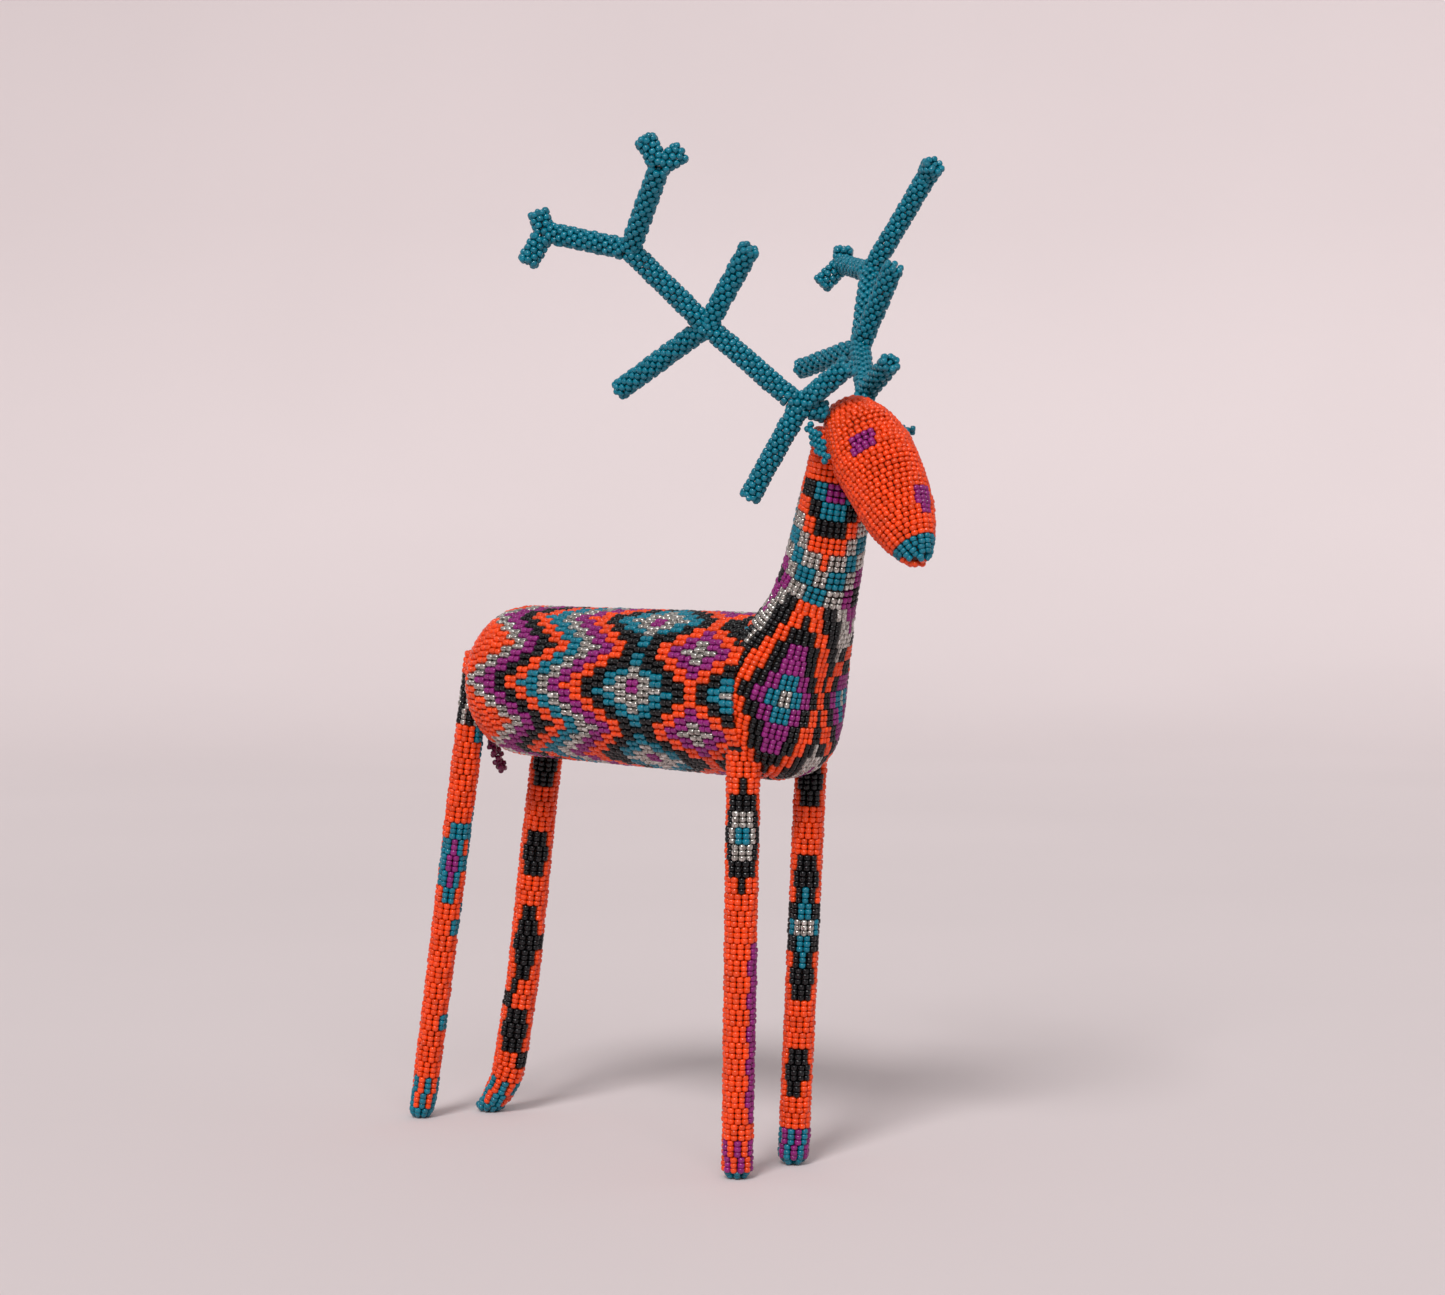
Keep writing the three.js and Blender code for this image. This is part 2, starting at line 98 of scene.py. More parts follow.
TAIL_STRAND = 0.7 * MM
TAIL_TWISTS = 3
LEG_ROUND = 12
ANTLER_ROUND = 7
ANTLER_BIGGEST = 6.5 * MM        # no antler sleeve reaches further from its middle line
ANTLER_TIP = 2.7 * MM            # the beads close over this much of a tip
STUB_LENGTH = 13 * MM

# Guides
GUIDE_SAMPLES = 48
FAN_SAMPLES = 8
GUIDE_RAYS = 48
RAY_START = 60 * MM
OUT_OF_REACH = 1.3 * MM
SUNK = 1.7 * MM                  # beads deeper than this inside another form are left out
TRUNK_ZERO = (-1, 0, 0.045)      # the chevron points of the near side run along this line
FACING = (-0.761, -0.648, 0)     # the zero line of the neck and legs runs down this side

# Camera
CAMERA_AT = (-0.64285, -0.56545, 0.179)
CAMERA_AZIMUTH = math.radians(-49.6)
CAMERA_DOWN = math.radians(2.32)
CAMERA_LENS = 75.4
SENSOR = 36


# ---------------------------------------------------------------- CAD surfaces
def world_mesh(*nodes):
    """Vertices and polygons of CAD nodes, together."""
    points, faces = [], []
    for name in nodes:
        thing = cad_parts[name]
        start = len(points)
        points += [thing.matrix_world @ v.co for v in thing.data.vertices]
        faces += [[start + i for i in polygon.vertices] for polygon in thing.data.polygons]
    return points, faces


def long_axis(*nodes):
    """The two ends of the longest direction through CAD nodes."""
    points = np.array([list(p) for p in world_mesh(*nodes)[0]])
    centre = (points.min(0) + points.max(0)) / 2
    along = np.linalg.svd(points - points.mean(0), full_matrices=False)[2][0]
    reach = (points - centre) @ along
    return Vector(centre + along * reach.min()), Vector(centre + along * reach.max())


def section_middle(points, faces, at, normal):
    """Middle of the section that a plane cuts from a mesh."""
    across = normal.orthogonal().normalized()
    second = normal.cross(across)
    found = []
    heights = [(p - at).dot(normal) for p in points]
    for face in faces:
        for a, b in zip(face, face[1:] + face[:1]):
            if (heights[a] < 0) != (heights[b] < 0):
                share = heights[a] / (heights[a] - heights[b])
                found.append(points[a].lerp(points[b], share) - at)
    if not found:
        return None
    us = [p.dot(across) for p in found]
    vs = [p.dot(second) for p in found]
    return at + across * (min(us) + max(us)) / 2 + second * (min(vs) + max(vs)) / 2


def middle_line(nodes, start, end, margins, count=9):
    """Section middles of tube-like nodes, carried straight on to both ends."""
    points, faces = world_mesh(*nodes)
    normal = (end - start).normalized()
    first, last = start + normal * margins[0], end - normal * margins[1]
    stops = [first.lerp(last, i / (count - 1)) for i in range(count)]
    line = [section_middle(points, faces, stop, normal) for stop in stops]
    line = [p for p in line if p is not None]
    head, tail = (line[0] - line[2]).normalized(), (line[-1] - line[-3]).normalized()
    front = line[0] + head * (line[0] - start).dot(normal)
    back = line[-1] + tail * (end - line[-1]).dot(normal)
    return [front, *line, back]


class Guide:
    """A middle line with a smooth outline round it, measured from CAD nodes by casting rays.

    Rays stand square to the line, and fan out round the last point at an end that is closed.
    """

    def __init__(self, nodes, line, zero, biggest, fans=(0.0, 0.0)):
        points, faces = world_mesh(*nodes)
        self.tree = BVHTree.FromPolygons(points, faces)
        line = np.array([list(p) for p in line])
        steps = np.r_[0, np.cumsum(np.linalg.norm(np.diff(line, axis=0), axis=1))]
        straight = np.linspace(fans[0], steps[-1] - fans[1], GUIDE_SAMPLES)
        quarter = np.arange(1, FAN_SAMPLES + 1) / FAN_SAMPLES * math.pi / 2
        front, back = (quarter if fan else quarter[:0] for fan in fans)
        self.tilt = np.r_[-front[::-1], np.zeros(GUIDE_SAMPLES), back]
        places = np.r_[np.full(len(front), straight[0]), straight, np.full(len(back), straight[-1])]
        middle = smoothed(np.stack([np.interp(straight, steps, line[:, k]) for k in range(3)], 1), 2)
        tangent = np.gradient(middle, axis=0)
        tangent = np.stack([np.interp(places, straight, tangent[:, k]) for k in range(3)], 1)
        self.centre = np.stack([np.interp(places, straight, middle[:, k]) for k in range(3)], 1)
        self.tangent = unit(tangent)
        zero = np.array(zero, float)
        self.across = unit(zero - (self.tangent @ zero)[:, None] * self.tangent)
        self.second = np.cross(self.tangent, self.across)
        self.count = len(self.tilt)
        self.outline = self.measure(biggest)
        mean = self.outline[:, 0]
        rise = np.diff(mean * np.cos(self.tilt))
        run = np.diff(places + mean * np.sin(self.tilt))
        self.surface = np.r_[0, np.cumsum(np.hypot(rise, run))]

    def measure(self, biggest):
        """Fits a mean radius and two waves to the ray hits of every section."""
        angles = np.arange(GUIDE_RAYS) * 2 * math.pi / GUIDE_RAYS
        rows = []
        for i in range(self.count):
            hits, used = [], []
            for angle in angles:
                out = self.direction(i, angle)
                start = Vector(self.centre[i] + out * RAY_START)
                place, _, _, far = self.tree.ray_cast(start, Vector(-out), RAY_START)
                if place is not None and RAY_START - far < biggest:
                    hits.append(RAY_START - far)
                    used.append(angle)
            hits, used = near_median(np.array(hits), np.array(used))
            rows.append(fit_outline(used, hits) if len(hits) > GUIDE_RAYS // 4 else None)
        return smoothed(filled(rows), 1)

    def direction(self, i, angle):
        radial = math.cos(angle) * self.across[i] + math.sin(angle) * self.second[i]
        return math.cos(self.tilt[i]) * radial + math.sin(self.tilt[i]) * self.tangent[i]

    def along(self, values, u):
        """Table rows between samples; u counts samples."""
        if values.ndim == 1:
            return np.interp(u, range(self.count), values)
        return np.stack([np.interp(u, range(self.count), values[:, k]) for k in range(values.shape[1])], -1)

    def at(self, u, angles):
        """Points on the outline."""
        parts = (self.centre, self.across, self.second, self.tangent)
        centre, across, second, tangent = (self.along(x, u) for x in parts)
        tilt = self.along(self.tilt, u)
        radial = np.cos(angles)[:, None] * across + np.sin(angles)[:, None] * second
        out = math.cos(tilt) * radial + math.sin(tilt) * tangent
        return centre + self.radius(u, angles)[:, None] * out

    def radius(self, u, angles):
        return waves(np.asarray(angles, float)) @ self.along(self.outline, u)

    def girth(self, u):
        """Mean distance of the outline from the line, square to it."""
        return float(self.along(self.outline[:, 0], u) * math.cos(self.along(self.tilt, u)))

    def depth(self, points):
        """How far inside the outline each point lies; negative outside it."""
        gaps = np.asarray(points)[:, None, :] - self.centre[None]
        axial = (gaps * self.tangent).sum(-1)
        x, y = (gaps * self.across).sum(-1), (gaps * self.second).sum(-1)
        radial = np.hypot(x, y)
        aside = np.abs(axial * np.cos(self.tilt) - radial * np.sin(self.tilt))
        ahead = radial * np.cos(self.tilt) + axial * np.sin(self.tilt)
        best = np.argmin(np.where(ahead < 0, np.inf, aside), axis=1)
        rows = np.arange(len(best))
        angle = np.arctan2(y[rows, best], x[rows, best])
        edge = (waves(angle) * self.outline[best]).sum(-1)
        inside = edge - ahead[rows, best]
        return np.where(aside[rows, best] > OUT_OF_REACH, -1.0, inside)

    def rows(self, weaving):
        """Sample numbers one bead apart on the surface."""
        stops = np.arange(weaving.start + weaving.pitch / 2, self.surface[-1], weaving.pitch)
        return np.interp(stops, self.surface, range(self.count))


def unit(vectors):
    return vectors / np.linalg.norm(vectors, axis=-1, keepdims=True)


def waves(angle):
    return np.stack([
        np.ones_like(angle), np.cos(angle), np.sin(angle), np.cos(2 * angle), np.sin(2 * angle),
    ], -1)


def near_median(radii, angles):
    """Drops hits on edges and far walls."""
    if not len(radii):
        return radii, angles
    usual = np.median(radii)
    kept = (radii > 0.7 * usual) & (radii < 1.4 * usual)
    return radii[kept], angles[kept]


def fit_outline(angles, radii):
    """Least squares with a little pull towards a circle, so part outlines stay sane."""
    basis = waves(angles)
    pull = np.diag([0, 0.5, 0.5, 2, 2])
    return np.linalg.solve(basis.T @ basis + pull, basis.T @ radii)


def filled(rows):
    known = [i for i, row in enumerate(rows) if row is not None]
    table = np.array([rows[i] for i in known])
    return np.stack([np.interp(range(len(rows)), known, column) for column in table.T], 1)


def smoothed(values, passes):
    for _ in range(passes):
        middle = (values[:-2] + 2 * values[1:-1] + values[2:]) / 4
        values = np.concatenate([values[:1], middle, values[-1:]])
    return values


# ---------------------------------------------------------------- beads
def bead_template():
    """A rounded ring with dimpled mouths: unit radius, unit length along x."""
    points, faces = [(-BEAD_DIMPLE, 0.0, 0.0)], []
    for radius, x in BEAD_PROFILE:
        for k in range(BEAD_SIDES):
            turn = 2 * math.pi * k / BEAD_SIDES
            points.append((x, radius * math.cos(turn), radius * math.sin(turn)))
    points.append((BEAD_DIMPLE, 0.0, 0.0))
    last = len(BEAD_PROFILE) - 1
    for k in range(BEAD_SIDES):
        after = (k + 1) % BEAD_SIDES
        faces.append((0, 1 + after, 1 + k))
        for ring in range(last):
            low = 1 + ring * BEAD_SIDES
            high = low + BEAD_SIDES
            faces.append((low + k, low + after, high + after, high + k))
        faces.append((1 + last * BEAD_SIDES + k, 1 + last * BEAD_SIDES + after, len(points) - 1))
    return np.array(points), faces


TEMPLATE, TEMPLATE_FACES = bead_template()


class Beads:
    """Beads of one piece, gathered before the mesh is made."""

    def __init__(self):
        self.centres, self.frames = [], []

    def add(self, centre, hole, out, radius, length):
        side = np.cross(hole, out)
        self.centres.append(centre)
        self.frames.append(np.stack([hole * length, out * radius, side * radius]))

    def keep_above(self, ground):
        """Lifts beads that would sink into the ground."""
        for centre, axes in zip(self.centres, self.frames):
            reach = BEAD_REACH * math.hypot(axes[0][2] / 2, axes[1][2], axes[2][2])
            centre[2] = max(centre[2], ground + reach)

    def mesh(self, name, rng):
        count = len(self.centres)
        centres, frames = np.array(self.centres), np.array(self.frames)
        frames = frames * BEAD_PLUMP
        sizes = 1 + rng.uniform(-BEAD_SIZE_SPREAD, BEAD_SIZE_SPREAD, (count, 1, 1))
        points = np.einsum("vi,nij->nvj", TEMPLATE, frames * sizes) + centres[:, None, :]
        per = len(TEMPLATE)
        triangles = np.array([f for f in TEMPLATE_FACES if len(f) == 3])
        quads = np.array([f for f in TEMPLATE_FACES if len(f) == 4])
        offsets = (np.arange(count) * per)[:, None, None]
        loops = np.concatenate([
            (triangles[None] + offsets).reshape(-1), (quads[None] + offsets).reshape(-1),
        ])
        sizes_of = np.r_[np.full(count * len(triangles), 3), np.full(count * len(quads), 4)]
        mesh = bpy.data.meshes.new(name)
        mesh.vertices.add(count * per)
        mesh.vertices.foreach_set("co", points.reshape(-1))
        mesh.loops.add(len(loops))
        mesh.loops.foreach_set("vertex_index", loops)
        mesh.polygons.add(len(sizes_of))
        mesh.polygons.foreach_set("loop_start", np.r_[0, np.cumsum(sizes_of)[:-1]])
        mesh.polygons.foreach_set("use_smooth", np.ones(len(sizes_of), bool))
        mesh.update(calc_edges=True)
        give(mesh, "bead_shade", np.repeat(rng.uniform(0, 1, count), per))
        give(mesh, "bead_along", np.tile(TEMPLATE[:, 0], count))
        give(mesh, "bead_turn", np.tile(np.arctan2(TEMPLATE[:, 2], TEMPLATE[:, 1]), count))
        return mesh


def give(mesh, name, values):
    layer = mesh.attributes.new(name, "FLOAT", "POINT")
    layer.data.foreach_set("value", np.asarray(values, np.float32))


def weave(guide, weaving, columns, chart, rng, skip=None):
    """Strings beads in rings along a guide and returns {colour: Beads}.

    columns(u) is the number of beads round at sample u. chart(ring, x, point) gives the colour of
    a block, with x counted in columns from the guide's zero line; the far side mirrors the near
    side. skip(points) marks beads to drop.
    """
    strung = {}
    rows = guide.rows(weaving)
    for ring in range(math.ceil(len(rows) / weaving.drop)):
        block = rows[ring * weaving.drop:(ring + 1) * weaving.drop]
        count = columns(block[len(block) // 2])
        turns = (np.arange(count) + 0.5 * ((ring + weaving.phase) % 2)) * 2 * math.pi / count
        xs = folded(turns) * count / (2 * math.pi)
        spots = guide.at(block[len(block) // 2], turns)
        colours = [chart(ring, x, spot) for x, spot in zip(xs, spots)]
        for u in block:
            string_row(guide, u, turns, colours, weaving, rng, strung, skip)
    return strung


def string_row(guide, u, turns, colours, weaving, rng, strung, skip):
    """One row of beads at sample u."""
    count = len(turns)
    if count < 3:
        turns, colours = np.zeros(1), colours[:1]
    ahead, behind = guide.at(min(u + 0.3, guide.count - 1), turns), guide.at(max(u - 0.3, 0), turns)
    small = math.pi / (4 * count)
    around = guide.at(u, turns + small) - guide.at(u, turns - small)
    holes = unit(ahead - behind)
    outs = unit(np.cross(around, holes))
    spots = guide.at(u, turns)
    radii = guide.radius(u, turns) * math.cos(guide.along(guide.tilt, u)) * math.pi / (count + math.pi)
    radii = np.clip(radii, *weaving.radii)
    centres = spots - outs * radii[:, None]
    dropped = skip(centres) if skip else np.zeros(len(centres), bool)
    for k in np.flatnonzero(~dropped):
        if colours[k] is None:
            continue
        hole, out = leaned(holes[k], outs[k], rng)
        centre = centres[k] + outs[k] * rng.normal(0, BEAD_SCATTER)
        strung.setdefault(colours[k], Beads()).add(centre, hole, out, radii[k], weaving.pitch)


def leaned(hole, out, rng):
    """The bead's two directions, leaned a little at random."""
    side = np.cross(hole, out)
    lean_out, lean_side = rng.normal(0, BEAD_TILT, 2)
    hole = unit(hole + lean_out * out + lean_side * side)
    return hole, unit(out - (out @ hole) * hole)


def folded(angle):
    """An angle from the zero line, with the far half turned back on the near half."""
    angle = (angle + math.pi) % (2 * math.pi) - math.pi
    return np.where(np.abs(angle) > math.pi / 2, np.sign(angle) * math.pi - angle, angle)


def count_round(guide, width, most=999, last_width=None):
    """How many beads of this width go round the guide, as a function of the sample."""
    def columns(u):
        share = u / (guide.count - 1)
        wide = width + ((last_width or width) - width) * share
        count = round(math.pi * (2 * guide.girth(u) / wide - 1))
        return min(count, most) if count >= 3 else 1
    return columns


# ---------------------------------------------------------------- materials
def new_material(name, plain):
    material = bpy.data.materials.new(name)
    material.use_nodes = True
    material.diffuse_color = (*plain, 1)
    tree = material.node_tree
    return material, tree, tree.nodes["Principled BSDF"]


def attribute(tree, name):
    node = tree.nodes.new("ShaderNodeAttribute")
    node.attribute_name = name
    return node.outputs["Fac"]


def noise(tree, scale, detail, vector=None):
    node = tree.nodes.new("ShaderNodeTexNoise")
    node.inputs["Scale"].default_value = scale
    node.inputs["Detail"].default_value = detail
    if vector is None:
        vector = tree.nodes.new("ShaderNodeTexCoord").outputs["Object"]
    tree.links.new(vector, node.inputs["Vector"])
    return node.outputs["Fac"]


def ramp(tree, value, stops):
    node = tree.nodes.new("ShaderNodeValToRGB")
    elements = node.color_ramp.elements
    while len(elements) < len(stops):
        elements.new(0.5)
    for element, (place, colour) in zip(elements, stops):
        element.position = place
        element.color = (*colour, 1)
    tree.links.new(value, node.inputs["Fac"])
    return node.outputs["Color"]


def calc(tree, operation, a, b):
    node = tree.nodes.new("ShaderNodeMath")
    node.operation = operation
    for socket, value in zip(node.inputs, (a, b)):
        if isinstance(value, (int, float)):
            socket.default_value = value
        else:
            tree.links.new(value, socket)
    return node.outputs[0]


def bump(tree, shader, height, strength, distance):
    node = tree.nodes.new("ShaderNodeBump")
    node.inputs["Strength"].default_value = strength
    node.inputs["Distance"].default_value = distance
    tree.links.new(height, node.inputs["Height"])
    tree.links.new(node.outputs["Normal"], shader.inputs["Normal"])


def scaled(colour, by):
    return tuple(channel * by for channel in colour)


def glass_beads(name, colour, spread=0.2, roughness=0.2, coat=0.12):
    """Glossy opaque pressed glass: each bead has its own shade, and its surface is a little uneven."""
    material, tree, shader = new_material(name, colour)
    shade = attribute(tree, "bead_shade")
    cloud = noise(tree, 900, 2)
    value = calc(tree, "MULTIPLY_ADD", shade, 0.75)
    value.node.inputs[2].default_value = 0.0
    value = calc(tree, "ADD", value, calc(tree, "MULTIPLY", cloud, 0.25))
    stops = [(0.0, scaled(colour, 1 - spread)), (0.45, colour), (1.0, scaled(colour, 1 + spread))]
    tree.links.new(ramp(tree, value, stops), shader.inputs["Base Color"])
    rough = calc(tree, "ADD", calc(tree, "MULTIPLY", cloud, 0.16), roughness - 0.08)
    tree.links.new(rough, shader.inputs["Roughness"])
    shader.inputs["Coat Weight"].default_value = coat
    shader.inputs["Coat Roughness"].default_value = 0.06
    shader.inputs["IOR"].default_value = 1.52
    shader.inputs["Specular IOR Level"].default_value = 0.36
    bump(tree, shader, noise(tree, 2600, 2), 0.12, 0.0001)
    return material


def silver_lined_beads(name):
    """Clear glass over a silvered hole. The bright and dark streaks that run along the hole are painted
    reflections in the base colour: near-white stands in for the silvered lining's highlight, near-black for
    the dark edges it reflects.
    """
    plain = (0.42, 0.39, 0.36)
    material, tree, shader = new_material(name, plain)
    mixed = tree.nodes.new("ShaderNodeCombineXYZ")
    tree.links.new(calc(tree, "MULTIPLY", attribute(tree, "bead_turn"), 1.9), mixed.inputs["X"])
    tree.links.new(calc(tree, "MULTIPLY", attribute(tree, "bead_along"), 0.7), mixed.inputs["Y"])
    tree.links.new(calc(tree, "MULTIPLY", attribute(tree, "bead_shade"), 40), mixed.inputs["Z"])
    # streak noise along the hole; through the ramp below it paints the silvered lining's reflections,
    # bright and dark, into the base colour
    painted_reflection_streaks = noise(tree, 1.0, 2, mixed.outputs["Vector"])
    stops = [
        (0.30, (0.10, 0.085, 0.075)), (0.47, (0.34, 0.31, 0.28)),
        (0.58, (0.55, 0.52, 0.48)), (0.72, (0.92, 0.90, 0.87)),
    ]
    tree.links.new(ramp(tree, painted_reflection_streaks, stops), shader.inputs["Base Color"])
    shader.inputs["Metallic"].default_value = 0.7
    tree.links.new(calc(tree, "ADD", calc(tree, "MULTIPLY", painted_reflection_streaks, 0.3), 0.12), shader.inputs["Roughness"])
    shader.inputs["Coat Weight"].default_value = 1.0
    shader.inputs["Coat Roughness"].default_value = 0.03
    bump(tree, shader, painted_reflection_streaks, 0.35, 0.0002)
    return material


def gap_shade_padding(name):
    """Cloth under the beads, coloured dark brown as painted shade. It shows only in the gaps between beads,
    where it stands in for the shade there; its fibre mottling is the cloth's own.
    """
    # dark brown: painted shade for the gaps between beads
    plain = (0.12, 0.07, 0.05)
    material, tree, shader = new_material(name, plain)
    fibres = noise(tree, 1800, 4)
    stops = [(0.3, scaled(plain, 0.6)), (0.7, scaled(plain, 1.3))]
    tree.links.new(ramp(tree, fibres, stops), shader.inputs["Base Color"])
    shader.inputs["Roughness"].default_value = 0.95
    bump(tree, shader, fibres, 0.5, 0.0003)
    return material


def drawn_wire(name):
    plain = (0.42, 0.43, 0.44)
    material, tree, shader = new_material(name, plain)
    scratches = noise(tree, 700, 3)
    stops = [(0.3, scaled(plain, 0.75)), (0.7, scaled(plain, 1.15))]
    tree.links.new(ramp(tree, scratches, stops), shader.inputs["Base Color"])
    shader.inputs["Metallic"].default_value = 1.0
    shader.inputs["Roughness"].default_value = 0.35
    bump(tree, shader, scratches, 0.2, 0.0001)
    return material


def stage_paper(name, colour):
    material, tree, shader = new_material(name, colour)
    mottling = noise(tree, 3, 2)
    stops = [(0.3, scaled(colour, 0.985)), (0.7, scaled(colour, 1.01))]
    tree.links.new(ramp(tree, mottling, stops), shader.inputs["Base Color"])
    shader.inputs["Roughness"].default_value = 0.9
    shader.inputs["Specular IOR Level"].default_value = 0.1
    return material


BEAD_COLOURS = {
    "orange": (0.84, 0.062, 0.005),
    "teal": (0.0, 0.165, 0.24),
    "purple": (0.25, 0.012, 0.16),
    "maroon": (0.13, 0.005, 0.05),
}
MATERIALS = {name: glass_beads(name + "_glass", colour) for name, colour in BEAD_COLOURS.items()}
MATERIALS["black"] = glass_beads("black_glass", (0.004, 0.004, 0.005), spread=0.4, roughness=0.2, coat=0.0)
MATERIALS["silver"] = silver_lined_beads("silver_lined_glass")
GAP_SHADE_PADDING = gap_shade_padding("padding_painted_gap_shade")
WIRE = drawn_wire("drawn_wire")


# ---------------------------------------------------------------- pieces
def add_piece(name, mesh, material, body=FIGURE, replaced=()):
    piece = bpy.data.objects.new(name, mesh)
    bpy.context.scene.collection.objects.link(piece)
    mesh.materials.append(material)
    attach(piece, body)
    if replaced:
        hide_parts(*replaced)
    return piece


def add_beads(strung, rng, body=FIGURE):
    """One piece for each part and colour; the biggest of a part stands for its CAD node."""
    for part in sorted({part for part, colour in strung}):
        colours = sorted(colour for other, colour in strung if other == part)
        biggest = max(colours, key=lambda colour: len(strung[part, colour].centres))
        for colour in colours:
            mesh = strung[part, colour].mesh(f"{part}_{colour}_beads", rng)
            replaced = (part,) if colour == biggest else ()
            add_piece(mesh.name, mesh, MATERIALS[colour], body, replaced)


# ---------------------------------------------------------------- charts
def bands(value, limits, colours):
    """The colour whose limit is the first above the value."""
    for limit, colour in zip(limits, colours):
        if value < limit:
            return colour
    return colours[-1]


def from_nearest(x, repeat):
    """Distance from the nearest multiple of repeat."""
    return abs((x + repeat / 2) % repeat - repeat / 2)


TRUNK_FIRST_RING = 5             # ring of the first chevron point, counted from the rump's middle
TRUNK_REPEAT = 12                # rows from one chevron point to the next
TRUNK_SLOPE = 1.5                # rows that a zigzag climbs in one ring
DIAMOND_RINGS = (15, 10)         # ring of the first diamond, and rings to the next
ZIGZAG_START = -0.5              # where the first chevron's edge lies
ZIGZAG_BAND = 1.3                # rings that each chevron is wide
ZIGZAG = ("orange", "silver", "purple", "black", "orange", "teal", "silver", "purple", "orange")


def evenly(value, start, width, colours):
    """Equal bands of colour; the first and last colours carry on outwards."""
    band = math.ceil((value - start) / width)
    return colours[min(max(band, 0), len(colours) - 1)]


def trunk_chart(ring, x, point):
    """Chevrons from the rump, then rows of diamonds and half-stepped diamonds on black."""
    ring -= TRUNK_FIRST_RING
    climb = from_nearest(x, TRUNK_REPEAT)
    level = ring - climb / TRUNK_SLOPE
    if level < ZIGZAG_START + ZIGZAG_BAND * (len(ZIGZAG) - 1):
        return evenly(level, ZIGZAG_START, ZIGZAG_BAND, ZIGZAG)
    first, repeat = DIAMOND_RINGS
    size = climb + TRUNK_SLOPE * from_nearest(ring - first, repeat)
    if size <= 5:
        centre = climb <= 1 and (ring - first) % repeat == 0
        return "purple" if centre else bands(size, (3.1, 6), ("silver", "teal"))
    offset = from_nearest(x + TRUNK_REPEAT / 2, TRUNK_REPEAT)
    size = offset + TRUNK_SLOPE * from_nearest(ring - first - repeat / 2, repeat)
    return bands(size, (2.1, 4.1, 6.1, 99), ("silver", "purple", "orange", "black"))


def diamond(ring, x, sizes, colours, slope=1.0):
    """Nested diamonds round one block."""
    def motif(r, c):
        size = abs(c - x) + slope * abs(r - ring)
        return bands(size, sizes, colours) if size < sizes[-1] else None
    return motif


def stripe(rings, x, step, half_width, colour):
    """A slanted stripe whose middle moves a step for each ring; x is where it starts."""
    def motif(r, c):
        near = abs(c - x - step * (r - rings[0])) <= half_width
        return colour if rings[0] <= r <= rings[1] and near else None
    return motif


def layered(ground, *motifs):
    """A chart from motifs; the first one that covers a block gives its colour."""
    def chart(ring, x, point):
        for motif in motifs:
            colour = motif(ring, x)
            if colour:
                return colour
        return ground
    return chart


def repeated(apart, motif):
    """The motif again every so many rings; it is drawn round ring 0."""
    return lambda r, c: motif((r + apart / 2) % apart - apart / 2, c)


def cuff(rings, colours):
    """Rings whose blocks take the colours in turn."""
    def motif(r, c):
        return colours[math.floor(c) % len(colours)] if rings[0] <= r <= rings[1] else None
    return motif


def zigzag(rings, reach, half_width, colour):
    """A stepped line that walks from side to side, one block for each ring."""
    def motif(r, c):
        near = abs(c + reach - from_nearest(r, 4 * reach)) <= half_width
        return colour if rings[0] <= r <= rings[1] and near else None
    return motif


NECK_TOP_RING = 21               # ring of the neck's highest row of motifs
NECK_LEVEL_HEIGHT = 1.25         # rings that each V is high
NECK_LEVELS = (
    "purple", "teal", "black", "orange", "silver", "teal", "silver", "purple", "black",
)
LOW_NECK_RING = 14
CHEST_DIAMOND_RING = 8           # ring of the chest diamonds' middles
CHEST_REPEAT = 16                # blocks from one chest diamond to the next
CHEST_SLOPE = 1.2
CHEST_BAND = 2.1                 # blocks that each outline of a diamond is wide
CHEST_DIAMOND = ("silver", "teal", "purple", "black", "orange", "black", "silver", "purple")


def chest_chart(ring, x, point):
    """Nested Vs up the neck over rows of nested diamonds round the chest."""
    if ring > NECK_TOP_RING:
        return "orange"
    if ring > LOW_NECK_RING:
        level = NECK_TOP_RING - ring + abs(x) / 2
        return evenly(level, NECK_LEVEL_HEIGHT / 2, NECK_LEVEL_HEIGHT, NECK_LEVELS)
    size = from_nearest(x, CHEST_REPEAT) + CHEST_SLOPE * abs(ring - CHEST_DIAMOND_RING)
    return evenly(size, CHEST_BAND / 4, CHEST_BAND, CHEST_DIAMOND)


LEG_CHARTS = {
    "front_right": layered(
        "orange",
        diamond(21, 0, (1, 2.4, 3.8), ("teal", "silver", "black")),
        cuff((1, 2), ("purple", "orange")),
        stripe((4, 14), 3, 0, 1.5, "purple"),
    ),
    "front_left": layered(
        "orange",
        diamond(15, 0, (1, 2.4, 3.8), ("silver", "teal", "black")),
        cuff((1, 2), ("purple", "teal")),
        repeated(6, diamond(0, 0, (2,), ("black",))),
    ),
    "rear_right": layered(
        "orange",
        cuff((25, 27), ("black", "silver")),
        diamond(16, 0, (1.2, 3), ("purple", "teal")),
        cuff((1, 2), ("teal", "orange")),
        repeated(6, diamond(0, 3, (1.6,), ("teal",))),
    ),
    "rear_left": layered(
        "orange",
        zigzag((4, 14), 2, 0.8, "black"),
        cuff((1, 2), ("teal", "orange")),
        repeated(6, diamond(0, 0, (2,), ("black",))),
    ),
}


# ---------------------------------------------------------------- the sleeves
def middle_of(node):
    low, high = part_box(node)
    return (Vector(low) + Vector(high)) / 2


def inside(*guides):
    """A test for beads sunk in other forms."""
    def test(points):
        return np.any([guide.depth(points) > SUNK for guide in guides], axis=0)
    return test


